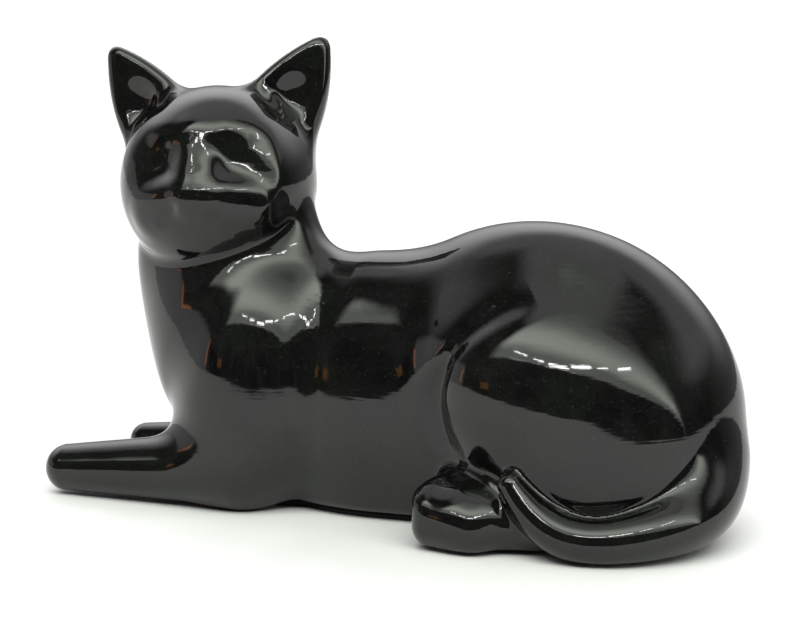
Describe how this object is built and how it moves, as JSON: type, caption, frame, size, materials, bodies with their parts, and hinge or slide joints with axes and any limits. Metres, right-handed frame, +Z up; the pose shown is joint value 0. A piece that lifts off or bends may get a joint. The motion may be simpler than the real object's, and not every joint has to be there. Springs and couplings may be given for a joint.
{
  "type": "ceramic cat figurine",
  "caption": "Lying cat figurine in black glazed earthenware, head turned to its left, tail curled round the haunch, on an inset base.",
  "frame": {"origin": "on the resting face, at the middle of the body's length and on the body's mid-plane", "axes": "+Z up; -X towards the front paws and +X towards the rump; -Y towards the cat's left side, which the face looks to"},
  "size_m": [0.2903, 0.139, 0.1893],
  "materials": {
    "black_glaze": "high-gloss black glaze",
    "bare_clay": "unglazed fired clay"
  },
  "bodies": {
    "root": {"body_shell": "black_glaze", "head_shell": "black_glaze", "ear_left": "black_glaze", "ear_right": "black_glaze", "foreleg_left": "black_glaze", "foreleg_right": "black_glaze", "hind_foot_left": "black_glaze", "hind_foot_right": "black_glaze", "tail": "black_glaze", "base_plug": "bare_clay"}
  },
  "joints": []
}
